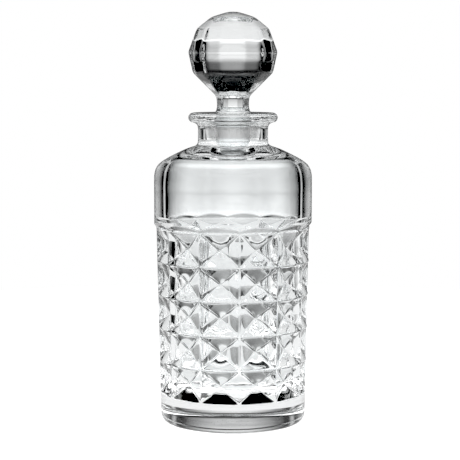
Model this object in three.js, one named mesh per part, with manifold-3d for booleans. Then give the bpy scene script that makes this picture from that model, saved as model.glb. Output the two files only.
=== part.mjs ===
// A round cut-glass wine and spirit decanter with a faceted ball stopper.
// Millimetres, +Z up. The origin is the centre of the foot, on the plane that the decanter stands on.
import * as THREE from "three";
import { ConvexGeometry } from "three/addons/geometries/ConvexGeometry.js";
import { mergeVertices } from "three/addons/utils/BufferGeometryUtils.js";
import Module from "manifold-3d";

const wasm = await Module();
wasm.setup();

// ---- Driving dimensions -------------------------------------------------------------------

const LIP_TOP = 187; // height of the bottle without its stopper
const TOTAL_HEIGHT = 247; // height with the stopper in
const BODY_RADIUS = 47.5; // the plain band under the shoulder, the widest part
const NECK_RADIUS = 21;
const LIP_RADIUS = 26.8;

// The pattern: square hollows, each a pyramid pressed into the wall, with narrow ridges between.
const COLUMNS = 12;
const ROWS = 5;
const COLUMN_PHASE = THREE.MathUtils.degToRad(4.6); // turns one ridge this far from the front
const PATTERN_BOTTOM = 17.8;
const ROW_PITCH = 20.1;
const PATTERN_TOP = PATTERN_BOTTOM + ROWS * ROW_PITCH;
const RIDGE_WIDTH = 1.4;
const HOLLOW_DEPTH = 5.4;
const BEVEL_TOP = 121.8; // one flat bevel over each column runs out into the plain band here
const RIDGE_RADIUS_AT_FOOT = 43.8;
const RIDGE_TAPER = 0.0194; // the ridges lean out by this much radius for each mm of height

// The cavity that holds the wine
const FLOOR_HEIGHT = 14;
const FLOOR_CURVE_ACROSS = 30; // the floor curves up into the wall like a bowl
const FLOOR_CURVE_UP = 16;
const PATTERN_CAVITY_RADIUS = 36;
const BAND_CAVITY_RADIUS = 39.6;
const CEILING_HEIGHT = 158.5;

// The ground taper joint between neck and stopper: 1.6 mm of diameter in 10 mm of length
const JOINT_TAPER = 0.08;
const BORE_RADIUS_AT_LIP = 11.6;
const JOINT_GAP = 0.3;
const PLUG_LENGTH = 28.5;

// The stopper's knob and stem are cut with one flat for each column of the body's pattern.
const KNOB_FLATS = 12;
const KNOB_PHASE = THREE.MathUtils.degToRad(14);

const OUTSIDE_SEGMENTS = COLUMNS * 4;
const CAVITY_SEGMENTS = 48;
const PLUG_SEGMENTS = 48;
const TOOL_REACH = 12; // how far the cutting tools pass beyond the glass

// ---- Solids -------------------------------------------------------------------------------

// A closed geometry as a manifold-3d solid, from its positions alone.
function solidOf(geometry) {
  const bare = geometry.index ? geometry.toNonIndexed() : geometry.clone();
  bare.deleteAttribute("normal");
  bare.deleteAttribute("uv");
  const merged = mergeVertices(bare, 1e-4);
  return new wasm.Manifold(
    new wasm.Mesh({
      numProp: 3,
      vertProperties: new Float32Array(merged.attributes.position.array),
      triVerts: new Uint32Array(merged.index.array),
    }),
  );
}

function geometryOf(solid) {
  const mesh = solid.getMesh();
  const geometry = new THREE.BufferGeometry();
  geometry.setAttribute("position", new THREE.BufferAttribute(mesh.vertProperties, 3));
  geometry.setIndex(new THREE.BufferAttribute(mesh.triVerts, 1));
  geometry.computeVertexNormals();
  return geometry;
}

// A solid turned about Z from a profile of [radius, height] points that runs upwards
// and starts and ends on the axis. phase is where the first edge lies, from -Y towards +X.
function turned(profile, segments, phase = 0) {
  const points = profile.map(([radius, height]) => new THREE.Vector2(radius, height));
  const lathe = new THREE.LatheGeometry(points, segments);
  return solidOf(lathe.rotateX(Math.PI / 2).rotateZ(phase));
}

// [radius, height] points on an elliptical arc about a centre, between two angles in degrees.
function arc(centre, across, up, fromDegrees, toDegrees, steps) {
  return Array.from({ length: steps + 1 }, (_, i) => {
    const angle = THREE.MathUtils.degToRad(
      THREE.MathUtils.lerp(fromDegrees, toDegrees, i / steps),
    );
    return [centre[0] + across * Math.cos(angle), centre[1] + up * Math.sin(angle)];
  });
}

// [radius, height] points along a smooth curve through the given ones.
function smooth(points, steps) {
  const curve = new THREE.SplineCurve(points.map(([r, z]) => new THREE.Vector2(r, z)));
  return curve.getPoints(steps).map((p) => [p.x, p.y]);
}

const ridgeRadius = (height) => RIDGE_RADIUS_AT_FOOT + RIDGE_TAPER * height;
const boreRadius = (height) => BORE_RADIUS_AT_LIP - JOINT_TAPER * (LIP_TOP - height);

// A point on the cylinder of that radius, at an azimuth measured from the front (-Y) towards +X.
function around(radius, azimuth, height) {
  return new THREE.Vector3(
    radius * Math.sin(azimuth),
    -radius * Math.cos(azimuth),
    height,
  );
}

// ---- The bottle ---------------------------------------------------------------------------

function bottleOutside() {
  const footAcross = 4.2; // the rounding between the foot ring and the wall
  const footUp = 5.6;
  const rim = 2.9; // half the thickness of the lip's rounded edge
  return turned(
    [
      [0, 1.6], // hollow underside, so that the bottle stands on a ring
      [28, 1.6],
      [35, 0],
      ...arc([ridgeRadius(footUp) - footAcross, footUp], footAcross, footUp, -90, 0, 4),
      [ridgeRadius(PATTERN_BOTTOM), PATTERN_BOTTOM],
      [ridgeRadius(PATTERN_TOP), PATTERN_TOP],
      [BODY_RADIUS, PATTERN_TOP + 1.5],
      ...smooth(
        [
          [BODY_RADIUS, 145],
          [46.7, 152.8],
          [41.8, 158.4],
          [33, 163.1],
          [24.8, 166.5],
          [21.6, 168.4],
        ],
        10,
      ),
      [NECK_RADIUS, 170.6],
      [NECK_RADIUS, 179],
      [21.6, 180.4],
      [23.4, 181.1],
      ...arc([LIP_RADIUS - rim, LIP_TOP - rim], rim, rim, -50, 90, 6),
      [0, LIP_TOP],
    ],
    OUTSIDE_SEGMENTS,
    COLUMN_PHASE,
  );
}

function bottleCavity() {
  const overrun = 1; // past the lip, so that the bore is open
  return turned(
    [
      [0, FLOOR_HEIGHT],
      ...arc(
        [PATTERN_CAVITY_RADIUS - FLOOR_CURVE_ACROSS, FLOOR_HEIGHT + FLOOR_CURVE_UP],
        FLOOR_CURVE_ACROSS,
        FLOOR_CURVE_UP,
        -90,
        0,
        8,
      ),
      [PATTERN_CAVITY_RADIUS, PATTERN_TOP - 6],
      [BAND_CAVITY_RADIUS, PATTERN_TOP + 6],
      ...smooth(
        [
          [BAND_CAVITY_RADIUS, 144],
          [38.4, 151.8],
          [32.2, 157.2],
          [22, 158.9],
          [11, CEILING_HEIGHT],
        ],
        8,
      ),
      [boreRadius(CEILING_HEIGHT + 1), CEILING_HEIGHT + 1],
      [boreRadius(LIP_TOP - 0.8), LIP_TOP - 0.8],
      [BORE_RADIUS_AT_LIP + 0.6, LIP_TOP],
      [BORE_RADIUS_AT_LIP + 0.6, LIP_TOP + overrun],
      [0, LIP_TOP + overrun],
    ],
    CAVITY_SEGMENTS,
  );
}

// The tool for one hollow: straight lines from the pyramid's point, deep in the wall, through the
// hollow's outline on the ridges, and on to well outside the bottle. Its long edges are arcs
// about the axis, so they are divided, and its sides are upright.
function hollowCutter(azimuth, middle) {
  const arcSteps = 4;
  const reach = 2.2; // how far past the outline the tool goes, in depths
  const halfHeight = (ROW_PITCH - RIDGE_WIDTH) / 2;
  const halfAngle = Math.PI / COLUMNS - RIDGE_WIDTH / 2 / ridgeRadius(middle);
  const point = around(ridgeRadius(middle) - HOLLOW_DEPTH, azimuth, middle);

  const outline = [];
  for (const side of [-1, 1]) {
    const height = middle + side * halfHeight;
    for (let i = 0; i <= arcSteps; i++) {
      const across = side * (1 - (2 * i) / arcSteps) * halfAngle;
      outline.push(around(ridgeRadius(height), azimuth - across, height));
    }
  }
  const outer = outline.map((p) => p.clone().sub(point).multiplyScalar(reach).add(point));
  const cap = around(BODY_RADIUS + TOOL_REACH, azimuth, middle);

  const corners = [];
  outer.forEach((p, i) => {
    const next = outer[(i + 1) % outer.length];
    corners.push(point, p, next, cap, next, p);
  });
  return solidOf(new THREE.BufferGeometry().setFromPoints(corners));
}

// The tool for one bevel: a wedge one column wide, from the top ridge out to the plain band.
function bevelCutter(azimuth) {
  const halfAngle = Math.PI / COLUMNS;
  const flatAtRidge = ridgeRadius(PATTERN_TOP) * Math.cos(halfAngle);
  const lean = (BODY_RADIUS - flatAtRidge) / (BEVEL_TOP - PATTERN_TOP);
  const overrun = 2; // past the top of the bevel
  const ends = [PATTERN_TOP, BEVEL_TOP + overrun].map((height) => {
    const near = flatAtRidge + lean * (height - PATTERN_TOP);
    const far = near + TOOL_REACH;
    return [near, far].map((distance) =>
      [-1, 1].map((side) =>
        around(distance / Math.cos(halfAngle), azimuth + side * halfAngle, height),
      ),
    );
  });
  return solidOf(new ConvexGeometry(ends.flat(2)));
}

function bottle() {
  let glass = bottleOutside();
  for (let column = 0; column < COLUMNS; column++) {
    const azimuth = COLUMN_PHASE + ((column + 0.5) * 2 * Math.PI) / COLUMNS;
    for (let row = 0; row < ROWS; row++) {
      const middle = PATTERN_BOTTOM + (row + 0.5) * ROW_PITCH;
      glass = glass.subtract(hollowCutter(azimuth, middle));
    }
    glass = glass.subtract(bevelCutter(azimuth));
  }
  return geometryOf(glass.subtract(bottleCavity()));
}

// ---- The stopper --------------------------------------------------------------------------

// The knob and stem have flats, so their profile is given at the edges between the flats.
function knobAndStem() {
  return turned(
    [
      [0, LIP_TOP - 3],
      [10.8, LIP_TOP - 3],
      [10.8, LIP_TOP + 0.9],
      [10.1, LIP_TOP + 2.6],
      [9.85, LIP_TOP + 5],
      [9.95, LIP_TOP + 7.4],
      [10.5, LIP_TOP + 9.8],
      [24.8, 211.1],
      [27.6, 223.4],
      [22.2, 237],
      [13.3, 243.9],
      [0, TOTAL_HEIGHT],
    ],
    KNOB_FLATS,
    KNOB_PHASE,
  );
}

// The plug is ground to the neck's taper, with a rounded lower edge and a collar at the lip.
function groundPlug() {
  const bottom = LIP_TOP - PLUG_LENGTH;
  const edge = 1.6;
  const plugRadius = (height) => boreRadius(height) - JOINT_GAP;
  return turned(
    [
      [0, bottom],
      [plugRadius(bottom) - edge, bottom],
      [plugRadius(bottom) - edge * 0.3, bottom + edge * 0.3],
      [plugRadius(bottom + edge), bottom + edge],
      [plugRadius(LIP_TOP), LIP_TOP],
      [10.5, LIP_TOP + 1.2],
      [0, LIP_TOP + 1.2],
    ],
    PLUG_SEGMENTS,
  );
}

// ---- The object ---------------------------------------------------------------------------

function crystal(name) {
  return new THREE.MeshPhysicalMaterial({
    name,
    color: 0xf3f6f6,
    roughness: 0.02,
    metalness: 0,
    transmission: 1,
    ior: 1.54,
  });
}

const bottleMesh = new THREE.Mesh(bottle(), crystal("bottle_crystal"));
bottleMesh.name = "bottle";

const stopperMesh = new THREE.Mesh(
  geometryOf(knobAndStem().add(groundPlug())),
  crystal("stopper_crystal"),
);
stopperMesh.name = "stopper";

const decanter = new THREE.Group();
decanter.add(bottleMesh, stopperMesh);

export default decanter;
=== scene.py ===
"""A round cut-glass decanter with a faceted ball stopper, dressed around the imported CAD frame.

Both CAD nodes are replaced by finer meshes of the same shape: the bottle with its pressed
pattern, bowl-shaped floor and ground neck, and the stopper with its cut knob and ground plug.
Lengths are in millimetres in the shape code and become metres when a mesh is made. Azimuths
are measured from the front (-Y) towards +X. Profiles are lists of (radius, height).
"""

import math

import bpy
import numpy as np
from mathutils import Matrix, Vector


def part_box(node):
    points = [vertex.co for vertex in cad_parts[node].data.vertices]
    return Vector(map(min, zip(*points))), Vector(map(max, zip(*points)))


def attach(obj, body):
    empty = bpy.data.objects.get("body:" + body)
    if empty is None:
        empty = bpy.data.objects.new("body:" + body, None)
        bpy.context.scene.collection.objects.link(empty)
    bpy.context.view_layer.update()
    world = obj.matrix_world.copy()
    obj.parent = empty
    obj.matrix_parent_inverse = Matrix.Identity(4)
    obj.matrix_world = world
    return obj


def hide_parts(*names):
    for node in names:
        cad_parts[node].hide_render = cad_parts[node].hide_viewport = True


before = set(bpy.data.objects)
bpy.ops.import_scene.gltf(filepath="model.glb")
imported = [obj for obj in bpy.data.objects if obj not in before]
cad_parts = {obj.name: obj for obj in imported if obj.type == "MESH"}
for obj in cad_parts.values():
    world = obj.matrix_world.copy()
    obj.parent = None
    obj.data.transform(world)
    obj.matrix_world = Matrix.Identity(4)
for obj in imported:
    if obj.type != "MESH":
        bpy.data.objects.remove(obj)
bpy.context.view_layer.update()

MM = 0.001

# ---- Bottle ------------------------------------------------------------------------------

LIP_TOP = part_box("bottle")[1].z / MM
BODY_RADIUS = 47.5
NECK_RADIUS = 21.0
LIP_RADIUS = 26.8

COLUMNS = 12
ROWS = 5
COLUMN_PHASE = math.radians(4.6)
PATTERN_BOTTOM = 17.8
ROW_PITCH = 20.1
PATTERN_TOP = PATTERN_BOTTOM + ROWS * ROW_PITCH
HALF_COLUMN = math.pi / COLUMNS
RIDGE_WIDTH = 1.5
RIDGE_ROUNDING = 0.28
HOLLOW_DEPTH = 5.4
CORNER_POWER = 14.0  # how crisp the four edges inside a hollow are
BEVEL_TOP = 121.8  # a flat over each column runs out into the plain band here
BEVEL_ROUNDING = 0.15
BAND_BOTTOM = 125.2  # the bevels' last ring
RIDGE_RADIUS_AT_FOOT = 43.8
RIDGE_TAPER = 0.0194

FOOT_HOLLOW = 1.6  # the underside is hollow by this much, inside a flat ring
FLOOR_HEIGHT = 14.0
CORNER_ACROSS = 30.0  # the cavity's floor curves up into its wall like a bowl
CORNER_UP = 16.0
PATTERN_CAVITY_RADIUS = 36.0
BAND_CAVITY_RADIUS = 39.6
INNER_WAVE = 0.35  # the inside follows the pattern faintly
CAVITY_STEP_TOP = 125.5  # below here the cavity narrows from the band's radius to the pattern's
CAVITY_STEP_LENGTH = 14.0

JOINT_TAPER = 0.08
BORE_RADIUS_AT_LIP = 11.6
PLUG_LENGTH = 28.5
PLUG_BOTTOM = LIP_TOP - PLUG_LENGTH
PLUG_GAP = 0.06
BORE_BOTTOM = PLUG_BOTTOM - 0.6
GROUND_TOP = 180.6  # the bore and the plug are ground between these two heights
GROUND_BOTTOM = 172.0
GROUND_MARGIN = 0.3  # between the last clear ring and the first ground one

# Grid lines across half a hollow, closest together at the ridge, and then across a whole one.
HALF_CELL = np.array(
    [0, 0.07, 0.15, 0.24, 0.34, 0.44, 0.54, 0.64, 0.73, 0.81, 0.87, 0.915, 0.95, 0.978, 1.0]
)
CELL = np.concatenate([-HALF_CELL[:0:-1], HALF_CELL])

# ---- Stopper -----------------------------------------------------------------------------

KNOB_FLATS = 12
HALF_FLAT = math.pi / KNOB_FLATS
KNOB_PHASE = math.radians(14)
TOTAL_HEIGHT = 247.1
KNOB_CENTRE = 222.0
KNOB_SHARPNESS = 90.0  # how crisp the edges between the knob's flats are
# (corner radius, height) of the edges that run round the knob, from the stem to the top
KNOB_EDGES = [
    (11.2, 197.8),
    (24.7, 210.9),
    (27.5, 223.2),
    (22.2, 237.0),
    (13.3, 244.0),
    (3.6, TOTAL_HEIGHT),
]
KNOB_LOWEST = (11.2, 198.6)  # the knob's surface ends here and the stem takes over
STOPPER_SIDES = 14 * KNOB_FLATS
KNOB_RINGS = 130
POLISHED_TOP = 185.6  # the top of the plug's clear stretch, over its ground one

# ---- Looks -------------------------------------------------------------------------------

CRYSTAL_IOR = 1.54
CRYSTAL_TINT = (0.984, 0.997, 1.0)
# Painted shade darkens the crystal's colour towards its rims, where it faces away: (how far it faces away,
# how much light is left).
BOTTLE_PAINTED_RIM_SHADE = [(0.0, 0.985), (0.62, 0.96), (0.85, 0.55), (1.0, 0.04)]
STOPPER_PAINTED_RIM_SHADE = [(0.0, 0.98), (0.34, 0.94), (0.65, 0.6), (0.9, 0.12)]
WAVE_SCALE = 60  # the pressed glass is faintly wavy
WAVE_STRENGTH = 0.12
WAVE_DEPTH = 0.0006
GRAIN_SCALE = 1800  # of the ground glass
GROUND_ROUGHNESS = (0.26, 0.46)

# ---- Studio ------------------------------------------------------------------------------

# Brightness by elevation in degrees: pale table, horizon, pale walls, dark ceiling, roof light.
SKY = [
    (-90, 1.3),
    (-12, 1.3),
    (-6, 1.05),
    (-4.6, 1.02),
    (-4.1, 0.75),
    (-3.95, 0.94),
    (2, 0.88),
    (7, 0.71),
    (13, 0.55),
    (16, 0.08),
    (20, 0.0),
    (48, 0.0),
    (54, 1.3),
    (90, 1.5),
]
# Brightness by degrees aside from the middle of the nearest of four windows. A dark upright
# stands on each side of every window, with a paler gap between it and the next one's.
WINDOW = [
    (0, 1),
    (9, 0.97),
    (16, 0.74),
    (26, 0.38),
    (33, 0.12),
    (36, 0.0),
    (40.5, 0.0),
    (42.5, 0.5),
    (45, 0.8),
]
# How strongly the windows' pattern shows by elevation: the uprights end over the table.
UPRIGHTS = [(-90, 0), (-14, 0), (-11, 1), (90, 1)]
SHEEN_DIMMING = 0.8  # how much of the studio the glass doesn't reflect, so that its darks stay dark
FLOOR_RADIUS = 0.6
FLOOR_SIDES = 96
FLOOR_GLOW = 0.85
CAMERA_GLOW = 0.3  # added to it for what the camera sees
BLACK_LEVEL = 0.06  # scene brightness that the picture shows as black
GLASS_BOUNCES = 32
GLOSSY_BOUNCES = 16

CAMERA_DISTANCE = 0.943
CAMERA_ELEVATION = math.radians(5.84)
CAMERA_AIM = Vector((-0.0018, 0, 0.1162))
CAMERA_LENS = 122.0
CAMERA_SENSOR = 36.0

# ---- Curves and profiles -----------------------------------------------------------------


def ridge_radius(z):
    return RIDGE_RADIUS_AT_FOOT + RIDGE_TAPER * z


def bore_radius(z):
    return BORE_RADIUS_AT_LIP - JOINT_TAPER * (LIP_TOP - z)


def soft_min(a, b, rounding):
    """The smaller of a and b, with a rounded change from one to the other."""
    return 0.5 * (a + b - np.sqrt((a - b) ** 2 + rounding * rounding))


def around(radius, azimuth, z):
    """Points at a radius, azimuth and height, as an (n, 3) array."""
    radius, azimuth, z = np.broadcast_arrays(radius, azimuth, z)
    return np.stack([radius * np.sin(azimuth), -radius * np.cos(azimuth), z], -1)


def catmull(points, steps):
    """A smooth curve through (radius, height) points, with that many steps to each stretch."""
    p = np.array(points, float)
    p = np.vstack([2 * p[0] - p[1], p, 2 * p[-1] - p[-2]])
    out = []
    for i in range(1, len(p) - 2):
        a, b, c, d = p[i - 1], p[i], p[i + 1], p[i + 2]
        for j in range(steps):
            t = j / steps
            out.append(
                0.5
                * (
                    2 * b
                    + (c - a) * t
                    + (2 * a - 5 * b + 4 * c - d) * t * t
                    + (3 * b - a - 3 * c + d) * t ** 3
                )
            )
    out.append(p[-2])
    return [tuple(q) for q in out]


def ellipse_arc(centre_r, centre_z, across, up, start, end, steps):
    angles = np.radians(np.linspace(start, end, steps + 1))
    return [(centre_r + across * math.cos(a), centre_z + up * math.sin(a)) for a in angles]


def line(start, end, steps):
    a, b = np.array(start), np.array(end)
    return [tuple(a + (b - a) * i / steps) for i in range(steps + 1)]


def bore_line(top, bottom, steps, gap=0.0):
    """A straight stretch of the ground joint: the neck's bore, or the plug with its gap."""
    return line((bore_radius(top) - gap, top), (bore_radius(bottom) - gap, bottom), steps)


# One ring's points: place across their own column (-1 .. 1), that column's middle, and azimuth.
ACROSS = np.tile(CELL[:-1], COLUMNS)
MIDDLES = np.repeat(COLUMN_PHASE + (2 * np.arange(COLUMNS) + 1) * HALF_COLUMN, len(CELL) - 1)
AZIMUTHS = MIDDLES + HALF_COLUMN * ACROSS

# ---- The bottle --------------------------------------------------------------------------


def hollow_ring(row, v):
    """One ring of the pattern, v (-1 .. 1) of the way up its row of hollows.

    Each hollow is a pyramid pressed into the wall. A point of the ring lies on the straight line
    from the pyramid's deep point to a rim that stands a little proud of the ridges. soft_min then
    cuts the rim off, which leaves the narrow flat of the ridge.
    """
    half_height = ROW_PITCH / 2
    centre_z = PATTERN_BOTTOM + (row + 0.5) * ROW_PITCH
    u = ACROSS
    outward = np.maximum(np.maximum(np.abs(u), abs(v)), 1e-6)  # 0 at the deep point, 1 at the rim
    proud = RIDGE_WIDTH / 2 * HOLLOW_DEPTH / (half_height - RIDGE_WIDTH / 2)
    rim_z = centre_z + half_height * v / outward
    rim = around(ridge_radius(rim_z) + proud, HALF_COLUMN * u / outward, rim_z)
    point = around(ridge_radius(centre_z) - HOLLOW_DEPTH, 0.0, centre_z)
    p = point + (rim - point) * outward[:, None]
    radius = np.hypot(p[:, 0], p[:, 1])
    turn = np.arctan2(p[:, 0], -p[:, 1])
    rounded = (np.abs(u) ** CORNER_POWER + abs(v) ** CORNER_POWER) ** (1 / CORNER_POWER)
    radius += (rounded - outward) * HOLLOW_DEPTH
    radius = soft_min(radius, ridge_radius(p[:, 2]) + RIDGE_ROUNDING / 2, RIDGE_ROUNDING)
    return around(radius, MIDDLES + turn, p[:, 2])


def bevel_ring(z):
    """One ring above the pattern, where a flat over each column runs out into the plain band."""
    flat = ridge_radius(PATTERN_TOP) * math.cos(HALF_COLUMN)
    lean = (BODY_RADIUS - flat) / (BEVEL_TOP - PATTERN_TOP)
    on_flat = (flat + lean * (z - PATTERN_TOP)) / np.cos(HALF_COLUMN * ACROSS)
    return around(soft_min(on_flat, BODY_RADIUS, BEVEL_ROUNDING), AZIMUTHS, z)


def outside_below():
    """The profile from the hollow under the foot up to the pattern."""
    foot_across, foot_up = 4.2, 5.6  # the rounding between the foot ring and the wall
    wall_bottom = 7
    wall_top = PATTERN_BOTTOM - 0.7
    return (
        line((0, FOOT_HOLLOW), (27, FOOT_HOLLOW), 4)[1:]
        + line((28.5, FOOT_HOLLOW - 0.05), (34.2, 0.08), 4)
        + [(35.2, 0.0), (37.5, 0.0)]
        + ellipse_arc(ridge_radius(foot_up) - foot_across, foot_up, foot_across, foot_up, -90, 0, 14)
        + line((ridge_radius(wall_bottom), wall_bottom), (ridge_radius(wall_top), wall_top), 6)
    )


def outside_above():
    """The profile from the plain band over the shoulder, neck and lip to the bore's edge."""
    lip_half = 2.9  # half the lip's thickness
    bore_edge = 0.9  # the rounding between the lip's top and the bore
    shoulder = catmull(
        [
            (BODY_RADIUS, 145.0),
            (47.4, 149.3),
            (46.7, 152.8),
            (44.9, 155.9),
            (41.8, 158.4),
            (37.6, 160.8),
            (33.0, 163.1),
            (28.4, 165.2),
            (24.8, 166.5),
            (22.4, 167.4),
            (21.3, 168.9),
            (NECK_RADIUS, 171.2),
        ],
        4,
    )
    under_lip = catmull(
        [
            (NECK_RADIUS, 177.6),
            (21.5, 179.6),
            (22.9, 180.8),
            (24.6, 181.4),
        ],
        4,
    )
    rim = ellipse_arc(LIP_RADIUS - lip_half, LIP_TOP - lip_half, lip_half, lip_half, -62, 88, 16)
    return (
        line((BODY_RADIUS, 126), (BODY_RADIUS, 143), 6)
        + shoulder
        + line((NECK_RADIUS, 172.8), (NECK_RADIUS, 176.6), 2)
        + under_lip
        + rim
        + line((21.5, LIP_TOP), (14.0, LIP_TOP), 4)
        + ellipse_arc(BORE_RADIUS_AT_LIP + bore_edge, LIP_TOP - bore_edge, -bore_edge, bore_edge, 90, 0, 5)
    )


def cavity_rings():
    """The inside, from the bottom of the bore down the wall to the middle of the floor."""
    bore = bore_radius(BORE_BOTTOM)
    ceiling = catmull(
        [
            (bore + 0.4, BORE_BOTTOM - 0.3),
            (bore + 1.4, BORE_BOTTOM - 0.1),
            (bore + 3.0, 158.3),
            (16.5, 158.6),
            (22.0, 158.9),
            (27.5, 158.6),
            (32.2, 157.2),
            (36.0, 154.9),
            (38.4, 151.8),
            (39.3, 148.2),
            (BAND_CAVITY_RADIUS, 144.0),
        ],
        5,
    )
    rings = [around(r, AZIMUTHS, z) for r, z in ceiling]
    rings += [around(BAND_CAVITY_RADIUS, AZIMUTHS, z) for z in (140.0, 136.0, 132.0, 128.5)]
    wall_bottom = FLOOR_HEIGHT + CORNER_UP + 1.0
    for z in np.linspace(CAVITY_STEP_TOP, wall_bottom, 66):
        along = min(1.0, (CAVITY_STEP_TOP - z) / CAVITY_STEP_LENGTH)
        narrowing = 0.5 - 0.5 * math.cos(math.pi * along)
        r = BAND_CAVITY_RADIUS + (PATTERN_CAVITY_RADIUS - BAND_CAVITY_RADIUS) * narrowing
        phase = (z - PATTERN_BOTTOM) / ROW_PITCH * 2 * math.pi
        wave = -INNER_WAVE / 2 * narrowing * (np.cos(math.pi * ACROSS) + math.cos(phase - math.pi))
        rings.append(around(r + wave, AZIMUTHS, z))
    flat = PATTERN_CAVITY_RADIUS - CORNER_ACROSS
    bowl_top = wall_bottom - 0.6
    for r, z in ellipse_arc(flat, bowl_top, CORNER_ACROSS, CORNER_UP, -4, -88, 18):
        rings.append(around(r, AZIMUTHS, z))
    dish = 0.4  # the middle of the floor is this much lower than the bowl's edge
    for r in np.linspace(flat - 2, 0, 7)[:-1]:
        rings.append(around(r, AZIMUTHS, FLOOR_HEIGHT + dish * (r / flat) ** 2))
    return rings


def grid_mesh(name, rings, start_z, end_z, slots, diagonals=None):
    """A closed mesh from rings that share one number of points, closed at both ends on the axis.

    slots gives the material number of each gap between rings. diagonals says, for a gap whose
    squares are cut in two, which way each of them is cut, and is None for a gap of whole squares.
    """
    count = len(rings[0])
    first, last = len(rings) * count, len(rings) * count + 1
    verts = np.vstack(rings + [[[0, 0, start_z]], [[0, 0, end_z]]]) * MM
    step = np.arange(count)
    after = (step + 1) % count
    faces, materials = [], []
    for k in range(len(rings) - 1):
        a, b = k * count + step, k * count + after
        d, c = a + count, b + count
        split = diagonals[k] if diagonals is not None else None
        if split is None:
            faces.extend(zip(a, b, c, d))
            materials.extend([slots[k]] * count)
        else:
            for i in range(count):
                if split[i]:
                    faces.append((a[i], b[i], c[i]))
                    faces.append((a[i], c[i], d[i]))
                else:
                    faces.append((a[i], b[i], d[i]))
                    faces.append((b[i], c[i], d[i]))
            materials.extend([slots[k]] * (2 * count))
    faces.extend((first, after[i], step[i]) for i in range(count))
    materials.extend([slots[0]] * count)
    top = (len(rings) - 1) * count
    faces.extend((top + step[i], top + after[i], last) for i in range(count))
    materials.extend([slots[-1]] * count)
    mesh = bpy.data.meshes.new(name)
    mesh.from_pydata([tuple(v) for v in verts], [], [tuple(int(i) for i in f) for f in faces])
    mesh.polygons.foreach_set("material_index", np.array(materials, np.int32))
    mesh.polygons.foreach_set("use_smooth", np.ones(len(mesh.polygons), bool))
    mesh.update()
    mesh.validate()
    obj = bpy.data.objects.new(name, mesh)
    bpy.context.scene.collection.objects.link(obj)
    return obj


CRYSTAL, GROUND = 0, 1  # material numbers


def make_bottle():
    rings, slots, diagonals = [], [], []

    def add(new, slot=CRYSTAL, diagonal=None):
        for ring in new:
            rings.append(ring)
            slots.append(slot)
            diagonals.append(diagonal)

    def turned(profile):
        return [around(r, AZIMUTHS, z) for r, z in profile]

    add(turned(outside_below()))
    for row in range(ROWS):
        levels = CELL if row == 0 else CELL[1:]
        for v in levels:
            upward = v + 1e-9 >= 0  # the gap above this ring lies in the hollow's upper half
            rising = (ACROSS + 1e-9 >= 0) == upward
            add([hollow_ring(row, v)], diagonal=rising)
    add([bevel_ring(z) for z in np.linspace(PATTERN_TOP, BAND_BOTTOM, 16)[1:]])
    add(turned(outside_above()))
    add(turned(bore_line(LIP_TOP - 1.6, GROUND_TOP + 2 * GROUND_MARGIN, 3)))
    add(turned(bore_line(GROUND_TOP, GROUND_BOTTOM, 6)), GROUND)
    add(turned(bore_line(GROUND_BOTTOM - GROUND_MARGIN, BORE_BOTTOM, 6)))
    add(cavity_rings())
    return grid_mesh("bottle_glass", rings, FOOT_HOLLOW, FLOOR_HEIGHT, slots, diagonals)


# ---- The stopper -------------------------------------------------------------------------


def knob_planes():
    """Each flat of the knob as a unit normal and its distance from the knob's centre."""
    centre = np.array([0.0, 0.0, KNOB_CENTRE])
    to_middle = math.cos(HALF_FLAT)
    planes = []
    for (low_r, low_z), (high_r, high_z) in zip(KNOB_EDGES, KNOB_EDGES[1:]):
        for flat in range(KNOB_FLATS):
            azimuth = KNOB_PHASE + (2 * flat + 1) * HALF_FLAT
            low = around(low_r * to_middle, azimuth, low_z)
            high = around(high_r * to_middle, azimuth, high_z)
            sideways = np.array([math.cos(azimuth), math.sin(azimuth), 0.0])
            normal = np.cross(sideways, high - low)
            normal /= np.linalg.norm(normal)
            planes.append((normal, normal @ (low - centre)))
    planes.append((np.array([0.0, 0.0, 1.0]), TOTAL_HEIGHT - KNOB_CENTRE))
    return planes


def knob_ring(planes, polar, azimuths):
    """Points of the knob seen from its centre at one angle down from the top.

    The sum of high powers picks the nearest flat in each direction and rounds its edges a little.
    """
    direction = np.stack(
        [
            math.sin(polar) * np.sin(azimuths),
            -math.sin(polar) * np.cos(azimuths),
            np.full_like(azimuths, math.cos(polar)),
        ],
        -1,
    )
    nearness = np.zeros(len(azimuths))
    for normal, distance in planes:
        nearness += (np.maximum(direction @ normal, 0.0) / distance) ** KNOB_SHARPNESS
    reach = nearness ** (-1 / KNOB_SHARPNESS)
    return direction * reach[:, None] + [0.0, 0.0, KNOB_CENTRE]


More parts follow.
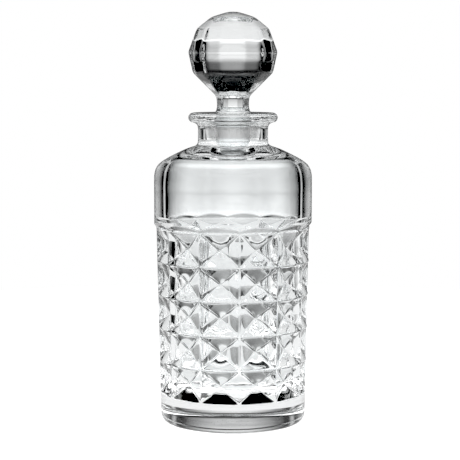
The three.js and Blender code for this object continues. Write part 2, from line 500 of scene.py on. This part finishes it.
def make_stopper():
    azimuths = np.arange(STOPPER_SIDES) * 2 * math.pi / STOPPER_SIDES + KNOB_PHASE
    across_flat = (azimuths - KNOB_PHASE) % (2 * HALF_FLAT) - HALF_FLAT
    polygon = math.cos(HALF_FLAT) / np.cos(across_flat)  # a polygon's radius over its corner radius

    planes = knob_planes()
    lowest = math.pi - math.atan2(KNOB_LOWEST[0], KNOB_CENTRE - KNOB_LOWEST[1])
    knob = [knob_ring(planes, polar, azimuths) for polar in np.linspace(0.03, lowest, KNOB_RINGS)]
    stem = catmull(
        [(11.1, 197.6), (10.35, 196.2), (9.95, 193.8), (9.85, 191.6), (10.05, 189.6), (10.6, 187.9)],
        4,
    )
    collar = [(11.4, 187.0), (11.9, 186.4)]
    polished = bore_line(POLISHED_TOP, GROUND_TOP + GROUND_MARGIN, 3, PLUG_GAP)
    ground = bore_line(GROUND_TOP, GROUND_BOTTOM, 8, PLUG_GAP)
    clear = bore_line(GROUND_BOTTOM - GROUND_MARGIN, PLUG_BOTTOM + 1.4, 8, PLUG_GAP)
    end = bore_radius(PLUG_BOTTOM) - PLUG_GAP
    tip = [(end - 0.5, PLUG_BOTTOM + 0.45), (end - 1.3, PLUG_BOTTOM + 0.05), (end - 2.2, PLUG_BOTTOM)]

    rings = knob + [around(r * polygon, azimuths, z) for r, z in stem]
    rings += [around(r, azimuths, z) for r, z in collar + polished + ground + clear + tip]
    slots = [CRYSTAL] * len(knob + stem + collar + polished)
    slots += [GROUND] * len(ground)
    slots += [CRYSTAL] * len(clear + tip)
    return grid_mesh("stopper_glass", rings[::-1], PLUG_BOTTOM, TOTAL_HEIGHT, slots[::-1])


# ---- Materials ---------------------------------------------------------------------------


def new_material(name):
    material = bpy.data.materials.new(name)
    material.use_nodes = True
    nodes = material.node_tree.nodes
    return material, nodes, material.node_tree.links, nodes["Principled BSDF"]


def ramp(nodes, stops, interpolation="LINEAR", start=0.0, end=1.0, tint=(1.0, 1.0, 1.0)):
    """A ramp over stops of (place, value), where places run from start to end."""
    node = nodes.new("ShaderNodeValToRGB")
    node.color_ramp.interpolation = interpolation
    elements = node.color_ramp.elements
    elements.remove(elements[-1])
    for i, (place, value) in enumerate(stops):
        position = (place - start) / (end - start)
        element = elements[0] if i == 0 else elements.new(position)
        element.position = position
        element.color = (*(value * channel for channel in tint), 1)
    return node


def clear_glass(name):
    """A clear glass shader with nothing on it yet."""
    material, nodes, links, shader = new_material(name)
    shader.inputs["IOR"].default_value = CRYSTAL_IOR
    shader.inputs["Transmission Weight"].default_value = 1.0
    return material, nodes, links, shader


def noise(nodes, links, scale, detail):
    place = nodes.new("ShaderNodeTexCoord")
    node = nodes.new("ShaderNodeTexNoise")
    node.inputs["Scale"].default_value = scale
    node.inputs["Detail"].default_value = detail
    links.new(place.outputs["Object"], node.inputs["Vector"])
    return node.outputs["Fac"]


def crystal(name, rim):
    """Polished crystal, faintly wavy, with a cool tint and painted shade that darkens its rims."""
    material, nodes, links, shader = clear_glass(name)
    shader.inputs["Roughness"].default_value = 0.0
    bump = nodes.new("ShaderNodeBump")
    bump.inputs["Strength"].default_value = WAVE_STRENGTH
    bump.inputs["Distance"].default_value = WAVE_DEPTH
    links.new(noise(nodes, links, WAVE_SCALE, 1.5), bump.inputs["Height"])
    links.new(bump.outputs["Normal"], shader.inputs["Normal"])
    # painted shade: the glass colour darkens towards the rims, where the surface faces away from the
    # viewer
    edge = nodes.new("ShaderNodeLayerWeight")
    edge.inputs["Blend"].default_value = 0.5
    tint = ramp(nodes, rim, "EASE", tint=CRYSTAL_TINT)
    links.new(edge.outputs["Facing"], tint.inputs["Fac"])
    links.new(tint.outputs["Color"], shader.inputs["Base Color"])
    return material


def ground_glass(name):
    """The matt, fine-grained glass of the ground joint."""
    material, nodes, links, shader = clear_glass(name)
    shader.inputs["Base Color"].default_value = (0.99, 0.99, 0.99, 1)
    rough = nodes.new("ShaderNodeMapRange")
    rough.inputs["To Min"].default_value = GROUND_ROUGHNESS[0]
    rough.inputs["To Max"].default_value = GROUND_ROUGHNESS[1]
    links.new(noise(nodes, links, GRAIN_SCALE, 2), rough.inputs["Value"])
    links.new(rough.outputs["Result"], shader.inputs["Roughness"])
    return material


def floor_material():
    """Pale, with a glow that is stronger for the camera, so that its edge doesn't show."""
    material, nodes, links, shader = new_material("pale_floor")
    shader.inputs["Base Color"].default_value = (0.9, 0.9, 0.9, 1)
    shader.inputs["Roughness"].default_value = 0.6
    shader.inputs["Emission Color"].default_value = (1, 1, 1, 1)
    light = nodes.new("ShaderNodeLightPath")
    glow = nodes.new("ShaderNodeMath")
    glow.operation = "MULTIPLY_ADD"
    glow.inputs[1].default_value = CAMERA_GLOW
    glow.inputs[2].default_value = FLOOR_GLOW
    links.new(light.outputs["Is Camera Ray"], glow.inputs[0])
    links.new(glow.outputs[0], shader.inputs["Emission Strength"])
    return material


# ---- Studio ------------------------------------------------------------------------------


def make_world():
    """A studio of windows, dark uprights and a dark ceiling, which the camera sees as white."""
    world = bpy.data.worlds.new("studio")
    world.use_nodes = True
    bpy.context.scene.world = world
    nodes, links = world.node_tree.nodes, world.node_tree.links
    nodes.clear()

    def math_node(operation, *values):
        node = nodes.new("ShaderNodeMath")
        node.operation = operation
        for socket, value in zip(node.inputs, values):
            if isinstance(value, (int, float)):
                socket.default_value = value
            else:
                links.new(value, socket)
        return node.outputs[0]

    def ramp_by(source, stops, start, end):
        node = ramp(nodes, stops, start=start, end=end)
        position = math_node("DIVIDE", math_node("SUBTRACT", source, start), end - start)
        links.new(position, node.inputs["Fac"])
        return node.outputs["Color"]

    place = nodes.new("ShaderNodeTexCoord")
    split = nodes.new("ShaderNodeSeparateXYZ")
    links.new(place.outputs["Generated"], split.inputs[0])
    x, y, z = split.outputs
    to_degrees = 180 / math.pi
    elevation = math_node("MULTIPLY", math_node("ARCSINE", z), to_degrees)
    azimuth = math_node("MULTIPLY", math_node("ARCTAN2", x, y), to_degrees)

    # how far the direction is from the middle of the nearest of the four windows
    in_quarter = math_node("FLOORED_MODULO", math_node("ADD", azimuth, 45.0), 90.0)
    aside = math_node("ABSOLUTE", math_node("SUBTRACT", in_quarter, 45.0))
    between_windows = math_node("SUBTRACT", 1.0, ramp_by(aside, WINDOW, 0.0, 45.0))
    blocked = math_node("MULTIPLY", between_windows, ramp_by(elevation, UPRIGHTS, -90.0, 90.0))
    sky = ramp_by(elevation, SKY, -90.0, 90.0)
    studio = math_node("MULTIPLY", sky, math_node("SUBTRACT", 1.0, blocked))

    light = nodes.new("ShaderNodeLightPath")
    dimmed = math_node("MULTIPLY", light.outputs["Is Reflection Ray"], SHEEN_DIMMING)
    seen = nodes.new("ShaderNodeMix")
    seen.data_type = "FLOAT"
    links.new(light.outputs["Is Camera Ray"], seen.inputs[0])
    links.new(math_node("MULTIPLY", studio, math_node("SUBTRACT", 1.0, dimmed)), seen.inputs[2])
    seen.inputs[3].default_value = 1.0
    background = nodes.new("ShaderNodeBackground")
    links.new(seen.outputs[0], background.inputs["Color"])
    background.inputs["Strength"].default_value = 1.0
    out = nodes.new("ShaderNodeOutputWorld")
    links.new(background.outputs[0], out.inputs[0])


def make_floor():
    mesh = bpy.data.meshes.new("floor")
    azimuths = np.arange(FLOOR_SIDES) * 2 * math.pi / FLOOR_SIDES
    corners = [tuple(p) for p in around(FLOOR_RADIUS, azimuths, 0.0)]
    mesh.from_pydata(corners, [], [list(range(FLOOR_SIDES))])
    floor = bpy.data.objects.new("floor", mesh)
    bpy.context.scene.collection.objects.link(floor)
    floor.data.materials.append(floor_material())


def make_camera():
    data = bpy.data.cameras.new("camera")
    data.lens = CAMERA_LENS
    data.sensor_width = CAMERA_SENSOR
    camera = bpy.data.objects.new("camera", data)
    bpy.context.scene.collection.objects.link(camera)
    back = Vector((0, -math.cos(CAMERA_ELEVATION), math.sin(CAMERA_ELEVATION)))
    camera.location = CAMERA_AIM + back * CAMERA_DISTANCE
    camera.rotation_euler = (-back).to_track_quat("-Z", "Y").to_euler()
    bpy.context.scene.camera = camera


def set_view():
    """Plain tones with a deeper black, and enough bounces for light to get through the glass."""
    scene = bpy.context.scene
    scene.view_settings.view_transform = "Standard"
    scene.view_settings.use_curve_mapping = True
    levels = scene.view_settings.curve_mapping
    levels.black_level = (BLACK_LEVEL, BLACK_LEVEL, BLACK_LEVEL)
    levels.update()
    scene.cycles.max_bounces = GLASS_BOUNCES
    scene.cycles.transmission_bounces = GLASS_BOUNCES
    scene.cycles.transparent_max_bounces = GLASS_BOUNCES
    scene.cycles.glossy_bounces = GLOSSY_BOUNCES


# ---- The scene ---------------------------------------------------------------------------

bottle = make_bottle()
bottle.data.materials.append(crystal("bottle_crystal_look", BOTTLE_PAINTED_RIM_SHADE))
bottle.data.materials.append(ground_glass("bottle_ground_look"))
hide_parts("bottle")
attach(bottle, "bottle")

stopper = make_stopper()
stopper.data.materials.append(crystal("stopper_crystal_look", STOPPER_PAINTED_RIM_SHADE))
stopper.data.materials.append(ground_glass("stopper_ground_look"))
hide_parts("stopper")
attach(stopper, "stopper")

make_world()
make_floor()
make_camera()
set_view()
